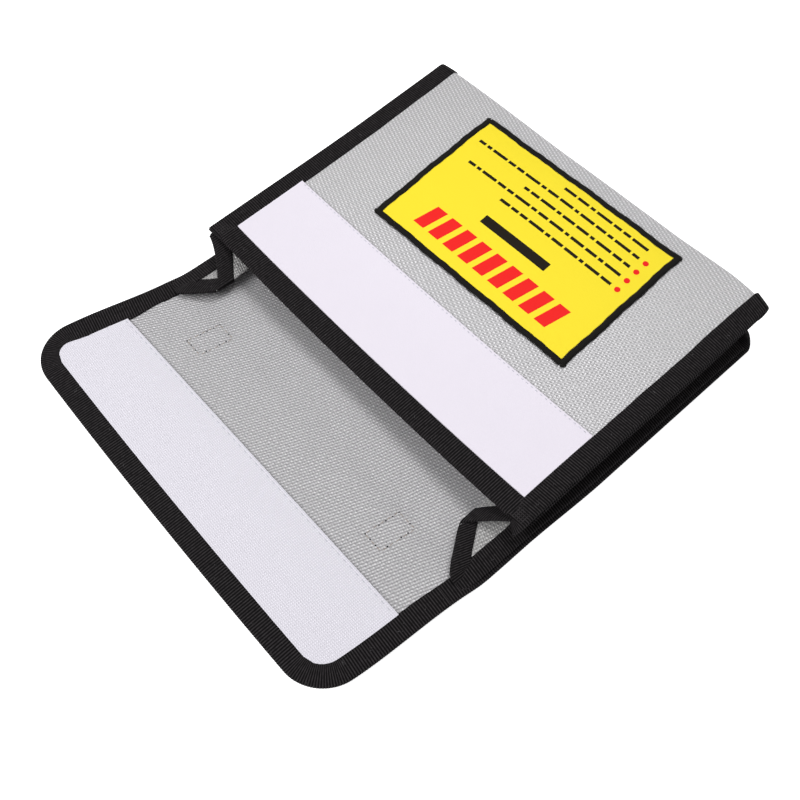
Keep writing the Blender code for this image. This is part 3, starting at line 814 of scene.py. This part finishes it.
def from_crease(d):
    """Level distance from a middle fold, at d from it along the cloth."""
    return np.sqrt((d * math.cos(FOLD)) ** 2 + SOFT_FOLD ** 2) - SOFT_FOLD


def fold_rows(edge, many):
    """Rows across a folded strip, close together at its middle fold."""
    near = 3 * MM
    return np.unique(np.concatenate([
        np.linspace(edge, GUSSET_HALF - near, many),
        np.linspace(GUSSET_HALF - near, GUSSET_HALF + near, 17),
        np.linspace(GUSSET_HALF + near, 2 * GUSSET_HALF - edge, many)]).round(7))


def gusset_surface(side, s, y):
    """Point of a side gusset at s across it, from the back seam over the middle fold to the front seam."""
    s, y = np.broadcast_arrays(s, y)
    d = s - GUSSET_HALF
    x = MIDDLE_X + from_crease(d)
    near_mouth = ease((-5 * MM - y) / (35 * MM))
    share = s / (2 * GUSSET_HALF)
    lower, upper = clamp(1 - 2 * share), clamp(2 * share - 1)
    # from its fold it reaches down to the back's tape and up to the front's
    reach = GUSSET_HALF * math.sin(FOLD)
    up = FRONT_Z - TAPE_HALF - SEAM_GAP - MIDDLE_Z - reach + front_rise(side * EDGE_X, y)
    down = MIDDLE_Z - reach - BACK_Z - TAPE_HALF - SEAM_GAP
    z = MIDDLE_Z + d * math.sin(FOLD) + upper * up * (1 - 0.6 * near_mouth) - lower * down * (1 - near_mouth)
    loose = clamp(np.abs(d) / GUSSET_HALF)
    z = z - CREASE_FALL * (GUSSET_END_Y - y) * (1 - loose) ** 1.5
    x = x + CREASE_OUT[side] * near_mouth * (1 - loose) ** 1.5
    z = z - LANDING * ease((-50 * MM - y) / (16 * MM)) * ease((12 * MM - s) / (12 * MM))
    crumple = CRUMPLE * near_mouth * wander(s, y, 22 * MM, 6.0 + side) * loose * (1 - loose) * 4
    plain = join(side * x, y, z + crumple)
    half_width, middle = back_half(np.maximum(y, SPINE_Y))
    with_back = join(side * x * half_width / EDGE_X + middle, y - BACK_TILT * side * x, z + crumple)
    with_front = turned(join(front_side(side * x, y), y, z + crumple), TWIST)
    share, lower, upper, near_mouth = (k[..., None] for k in (share, lower, upper, near_mouth))
    folded = plain + (with_back - plain) * lower + (with_front - plain) * upper
    return folded * (1 - near_mouth) + (with_back * (1 - share) + with_front * share) * near_mouth


for side, word in SIDES:
    pair = (f"{word}_gusset_back", f"{word}_gusset_front")
    d = fold_rows(EDGE_IN, 12)
    t = np.concatenate([np.linspace(0, 0.3, 28), np.linspace(0.3, 1, 30)[1:]])
    S, T = np.meshgrid(d, t, indexing="ij")
    # near the mouth its back edge keeps clear of the thin ends of the tapes, which lie on the back there
    back_part = clamp((GUSSET_HALF - 3 * MM - S) / (GUSSET_HALF - 3 * MM - EDGE_IN))
    S = S + EDGE_IN * (1 - ease((T - 0.03) / 0.10)) * back_part
    start_y = gusset_mouth(side, S) + LIP
    Y = start_y + T * (GUSSET_END_Y - start_y)
    cloth = shell(f"{word}_gusset_cloth", gusset_surface(side, S, Y), join(S, Y), GUSSET_CLOTH,
            SILVER_GUSSET)
    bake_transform(cloth)
    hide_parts(*(f"{body}_panel" for body in pair))

    def surface(s, y):
        return gusset_surface(side, s, y)

    def crossing(kind, ys_of, direction, s0, s1, nodes, width, taper=0.0):
        """A tape across both halves, along y = ys_of(s)."""
        ss = np.linspace(s0, s1, 200)
        ys = ys_of(ss)
        point, ds = surface(ss, ys), directions(surface, ss, ys, 0.3 * MM)[0]
        dy = np.tile([0.0, 1.0, 0.0], (len(ss), 1))
        run = unit(np.gradient(point, axis=0))
        square = 0.5 * (1 - ease((ss - GUSSET_HALF + 2 * MM) / (4 * MM)))[:, None]
        into = unit(dy - square * run * (dy * run).sum(axis=1, keepdims=True)) * direction
        piece = tape(f"{word}_gusset_{kind}_tape", point, into, unit(np.cross(ds, dy)), width, 1.0 * MM,
                core=0.25 * MM, seed=side + 14, taper=taper)
        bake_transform(piece)
        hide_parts(*nodes)

    crossing("mouth", lambda s: gusset_mouth(side, s), 1, 6 * MM, 2 * GUSSET_HALF - 0.8 * MM,
            [f"{body}_mouth_binding" for body in pair], MOUTH_TAPE, taper=7 * MM)
    crossing("end", lambda s: np.full_like(s, GUSSET_END_Y + 0.8 * MM), -1, 11 * MM,
            2 * GUSSET_HALF - 11 * MM, [f"{body}_end_binding" for body in pair], GUSSET_TAPE)
    for body, s_edge, direction in ((pair[0], 0.0, 1), (pair[1], 2 * GUSSET_HALF, -1)):
        ys = rows_of(gusset_mouth(side, s_edge) + 1 * MM, GUSSET_END_Y, 1 * MM)
        ss = np.full_like(ys, s_edge)
        point, ds = surface(ss, ys), directions(surface, ss, ys, 0.3 * MM)[0]
        into = ds * direction
        normal = unit(np.cross(into, np.tile([0.0, 1.0, 0.0], (len(ys), 1))))
        normal *= np.sign(normal[:, 2:3])
        more = SEAM_REACH if body == "right_gusset_front" else 0.0
        piece = tape(f"{body}_seam_tape", point - into * more, into, normal, GUSSET_TAPE + more, 0.8 * MM,
                core=0.25 * MM, seed=s_edge * 100 + side, taper=16 * MM)
        if s_edge == 0:
            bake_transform(piece)
        elif side < 0:
            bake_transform(piece)
        else:
            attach(piece, body)
        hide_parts(f"{body}_seam_binding")


def bottom_surface(across, s):
    """Point of the bottom's folded cloth at s from the back seam. across runs from -1 to 1."""
    across, s = np.broadcast_arrays(across, s)
    d = s - GUSSET_HALF
    y = BOTTOM_MIDDLE_Y + from_crease(d)
    z = MIDDLE_Z + d * math.sin(FOLD)
    from_seam = GUSSET_HALF - np.abs(d)
    mitre = SEAM_X - from_seam * math.cos(FOLD) - MITRE
    # its front half reaches up to where the front's cloth ends under the nose
    tail = front_surface(across * mitre, np.full_like(across * mitre, FRONT_LENGTH - 1 * MM))
    share = clamp(d / GUSSET_HALF)
    seam_z = MIDDLE_Z + GUSSET_HALF * math.sin(FOLD)
    return join(across * mitre, y, z + (tail[..., 2] - seam_z) * share)


U, S = np.meshgrid(np.linspace(-1, 1, 70), fold_rows(1.2 * MM, 10), indexing="ij")
grid = bottom_surface(U, S)
bottom_cloth = shell("bottom_cloth", grid, join(grid[:, :, 0], S), GUSSET_CLOTH, SILVER_GUSSET)
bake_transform(bottom_cloth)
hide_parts("bottom_back_panel", "bottom_front_panel")


# ---- stitches

def dashes(name, centres, headings, ups, length, width, finish):
    """Short rounded thread stitches lying on a surface, as one piece."""
    ring = 6
    points, faces, uv = [], [], []
    stations = ((-0.5, 0.25, -0.6), (-0.32, 0.85, 0.2), (0.0, 1.0, 0.5), (0.32, 0.85, 0.2), (0.5, 0.25, -0.6))
    for centre, heading, up in zip(centres, headings, ups):
        base = len(points)
        side = np.cross(up, heading)
        for t, girth, bulge in stations:
            middle = centre + heading * length * t + up * width * 0.4 * bulge
            for k in range(ring):
                angle = 2 * math.pi * k / ring
                out = side * math.cos(angle) + up * 0.8 * math.sin(angle)
                points.append(middle + width / 2 * girth * out)
                uv.append((length * t, width * k / ring))
        for r in range(len(stations) - 1):
            for k in range(ring):
                a, b = base + r * ring + k, base + r * ring + (k + 1) % ring
                faces.append((a, b, b + ring, a + ring))
        faces.append(tuple(base + k for k in range(ring))[::-1])
        faces.append(tuple(base + (len(stations) - 1) * ring + k for k in range(ring)))
    return build(name, points, faces, uv, finish)


def on_surface(surface, us, vs, lift):
    """Centres, headings and normals of stitches in a row across a surface."""
    du, dv = directions(surface, us, vs, 0.3 * MM)
    up = unit(np.cross(du, dv))
    return surface(us, vs) + up * lift, du, up


PILE_TOP = 1.62 * MM  # from the middle of the cloth to the stitches on a strip
xs = np.arange(loop_low.x + 2 * MM, loop_high.x - 1 * MM, 3.2 * MM)
line = on_surface(front_surface, xs, np.full_like(xs, on_front(loop_high.y) - 1.1 * MM), PILE_TOP)
piece = dashes("loop_strip_stitches", *line, 1.9 * MM, 0.4 * MM, PALE_THREAD)
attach(piece, "front")

xs = np.arange(hook_low.x + 2 * MM, hook_high.x - 1 * MM, 4.4 * MM)
ys = np.full_like(xs, HOOK_EDGE_Y - 1.7 * MM)
centres = back_surface(xs / FLAP_HALF, ys + HOOK_SKEW * xs) + np.array([0, 0, PILE_TOP])
piece = dashes("hook_strip_stitches", centres, np.tile([1.0, 0, 0], (len(xs), 1)),
        np.tile([0, 0, 1.0], (len(xs), 1)), 2.2 * MM, 0.4 * MM, PALE_THREAD)
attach(piece, "flap_cover")


def sides_of(x0, x1, y0, y1):
    """The sides of a rectangle in turn: both ends, the length and the heading."""
    corners = ((x0, y0), (x1, y0), (x1, y1), (x0, y1))
    for a, b in zip(corners, corners[1:] + corners[:1]):
        length = math.hypot(b[0] - a[0], b[1] - a[1])
        yield a, b, length, ((b[0] - a[0]) / length, (b[1] - a[1]) / length)


def border_path():
    """Places and headings of the overlock's threads round the label: x, v and the heading's two parts."""
    inset = 2.1 * MM
    border_low, border_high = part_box("label_border")
    x0, x1 = border_low.x + inset, border_high.x - inset
    v0, v1 = on_front(border_low.y) + inset, on_front(border_high.y) - inset
    pitch = 0.85 * MM
    stops = []
    for a, b, length, heading in sides_of(x0, x1, v0, v1):
        for t in np.arange(int(round(length / pitch))) * pitch / length:
            stops.append((a[0] + (b[0] - a[0]) * t, a[1] + (b[1] - a[1]) * t, *heading))
        # the thread fans out round the corner into a small knob
        before = math.atan2(heading[1], heading[0])
        for turn in np.radians([0, 25, 50, 75, 90]):
            stops.append((b[0] + math.copysign(0.5 * MM, b[0]), b[1], math.cos(before + turn),
                    math.sin(before + turn)))
    return np.array(stops)


route = border_path()
count = np.arange(len(route))
waver = 0.20 * MM * np.sin(count * 0.17) + 0.12 * MM * np.sin(count * 0.61)
us, vs = on_label(route[:, 0] + route[:, 3] * waver, route[:, 1] - route[:, 2] * waver)
centres, _, ups = on_surface(front_surface, us, vs, 1.05 * MM)
lean = math.radians(8)
cross_u = route[:, 3] * math.cos(lean) + route[:, 2] * math.sin(lean)
cross_v = -route[:, 2] * math.cos(lean) + route[:, 3] * math.sin(lean)
headings = unit(join(cross_u, cross_v, np.zeros(len(route))))
ups = unit(ups - headings * (ups * headings).sum(axis=1, keepdims=True))
label_edge = dashes("label_overlock", centres, headings, ups, 4.3 * MM, 1.25 * MM, OVERLOCK)
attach(label_edge, "front")
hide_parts("label_border")


def printed_piece(name, shapes, finish):
    """Ink on the label: flat shapes, each a grid of places across and along the front, as one piece."""
    sheets = []
    for X, V in shapes:
        grid = front_surface(*on_label(X, V))
        grid[:, :, 2] += 1.1 * MM
        sheets.append((grid, join(X, V)))
    piece = shells(name, sheets, 0.1 * MM, finish)
    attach(piece, "front")


def bar(x0, x1, y0, y1, slant=0.0):
    """A bar, or a slanted stripe that moves slant to the side for each unit along."""
    X, V = np.meshgrid(rows_of(x0, x1, 2 * MM), rows_of(on_front(y0), on_front(y1), 2 * MM), indexing="ij")
    return X + slant * (V - on_front(y0)), V


def dot(x, y, radius):
    """A round bullet."""
    A, R = np.meshgrid(np.linspace(0, 2 * math.pi, 25), np.array([0.02, 1.0]) * radius, indexing="ij")
    return x + R * np.cos(A), on_front(y) + R * np.sin(A)


centre = (label_low + label_high) / 2
# slanted stripes for a heading, a plain second bar, and rows of plain bars with round bullets
STRIPE, STRIPE_PITCH = 7.4 * MM, 11.1 * MM
starts = [centre.x - 49 * MM + STRIPE_PITCH * k for k in range(9)]
printed_piece("label_stripes", [bar(x, x + STRIPE, centre.y - 34.5 * MM, centre.y - 19.5 * MM, 0.25)
        for x in starts], RED_INK)
printed_piece("label_second_bar", [bar(centre.x - 22 * MM, centre.x + 24 * MM,
        centre.y - 11.5 * MM, centre.y - 6 * MM)], DARK_INK)
dots = []
LINE_PITCH, LINE_HALF = 7.33 * MM, 0.9 * MM
for row, reach in enumerate((78, 109, 74, 115, 58)):
    y = centre.y + 6.3 * MM + LINE_PITCH * row
    x, end, k, words = centre.x + 54 * MM, centre.x + (54 - reach) * MM, 0, []
    while x > end + 3 * MM:
        length = (6.5 + 4.0 * math.sin(2.3 * k + 1.9 * row)) * MM
        words.append(bar(max(x - length, end), x, y - LINE_HALF, y + LINE_HALF))
        x, k = x - length - 1.5 * MM, k + 1
    printed_piece(f"label_line_{row + 1}", words, DARK_INK)
    if row < 4:
        dots.append(dot(centre.x + 58.5 * MM, y, 1.6 * MM))
printed_piece("label_dots", dots, RED_INK)


# handle: box stitches on the inner face, woven strap beneath
BOX_SHIFT = 2.6 * MM  # the stitches show this much nearer the bag than in the CAD
strap = frame["nodes"]["handle_strap"]
strap.data.materials.clear()
strap.data.materials.append(WEBBING)
for word in ("left", "right"):
    box_low, box_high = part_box(f"handle_box_stitch_{word}")
    centres, headings = [], []
    for a, b, length, heading in sides_of(box_low.x, box_high.x, box_low.y, box_high.y):
        count = int(round(length / (3.9 * MM)))
        for k in range(count):
            t = (k + 0.5) / count
            centres.append((a[0] + (b[0] - a[0]) * t, a[1] + (b[1] - a[1]) * t))
            headings.append((*heading, 0.0))
    centres, headings = np.array(centres), np.array(headings)
    centres[:, 1] += BOX_SHIFT
    points = back_surface(centres[:, 0] / EDGE_X, centres[:, 1]) + np.array([0, 0, CLOTH / 2])
    ups = np.tile([0, 0, 1.0], (len(points), 1))
    piece = dashes(f"handle_stitches_{word}", points + np.array([0, 0, 0.08 * MM]), headings, ups, 2.6 * MM,
            0.3 * MM, BEIGE)
    seen = np.sin(2.6 * np.arange(len(points))) > -0.35
    holes = dashes(f"handle_needle_holes_{word}", (points + headings * 1.9 * MM)[seen], headings[seen],
            ups[seen], 0.9 * MM, 0.8 * MM, HOLE)
    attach(piece, "flap_spine")
    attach(holes, "flap_spine")
    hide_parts(f"handle_box_stitch_{word}")


# ---- floor, light, camera

def soft_floor():
    reach = 3.0
    mesh = bpy.data.meshes.new("floor")
    corners = [(-reach, -reach, 0), (reach, -reach, 0), (reach, reach, 0), (-reach, reach, 0)]
    mesh.from_pydata(corners, [], [(0, 1, 2, 3)])
    floor = bpy.data.objects.new("floor", mesh)
    bpy.context.scene.collection.objects.link(floor)
    g = Graph("pale_floor")
    g.finish((0.93, 0.93, 0.93), 0.9, Emission_Color=(1.0, 1.0, 1.0, 1.0), Emission_Strength=0.8)
    mesh.materials.append(g.material)


def area_light(name, place, target, size, power):
    data = bpy.data.lights.new(name, "AREA")
    data.shape = "SQUARE"
    data.size = size
    data.energy = power
    light = bpy.data.objects.new(name, data)
    light.location = place
    light.rotation_mode = "QUATERNION"
    light.rotation_quaternion = (Vector(target) - Vector(place)).to_track_quat("-Z", "Y")
    bpy.context.scene.collection.objects.link(light)


soft_floor()
area_light("key", (-0.35, -0.95, 0.95), (0, 0, 0), 0.8, 12.1)
area_light("fill", (-0.1, 0.45, 1.2), (0, 0, 0), 0.5, 6.1)
world = bpy.data.worlds.new("studio")
world.use_nodes = True
world.node_tree.nodes["Background"].inputs[0].default_value = (1.0, 1.0, 1.0, 1.0)
world.node_tree.nodes["Background"].inputs[1].default_value = 0.31
bpy.context.scene.world = world

# angles in degrees, lens in millimetres
CAMERA = dict(azimuth=45.31, elevation=61.34, roll=2.43, distance=504.9 * MM,
        target=(22.3 * MM, -19.3 * MM, 0.0), lens=43.89)


def camera():
    azimuth, elevation = math.radians(CAMERA["azimuth"]), math.radians(CAMERA["elevation"])
    back = Vector((math.sin(azimuth) * math.cos(elevation), -math.cos(azimuth) * math.cos(elevation),
            math.sin(elevation)))
    right = Vector((0, 0, 1)).cross(back).normalized()
    up = back.cross(right)
    c, s = math.cos(math.radians(CAMERA["roll"])), math.sin(math.radians(CAMERA["roll"]))
    rolled = Matrix((c * right + s * up, -s * right + c * up, back)).transposed().to_4x4()
    data = bpy.data.cameras.new("camera")
    data.sensor_width = 36
    data.lens = CAMERA["lens"]
    data.clip_start = 0.01
    made = bpy.data.objects.new("camera", data)
    made.matrix_world = Matrix.Translation(Vector(CAMERA["target"]) + back * CAMERA["distance"]) @ rolled
    bpy.context.scene.collection.objects.link(made)
    bpy.context.scene.camera = made


camera()
bpy.context.scene.view_settings.view_transform = "Standard"
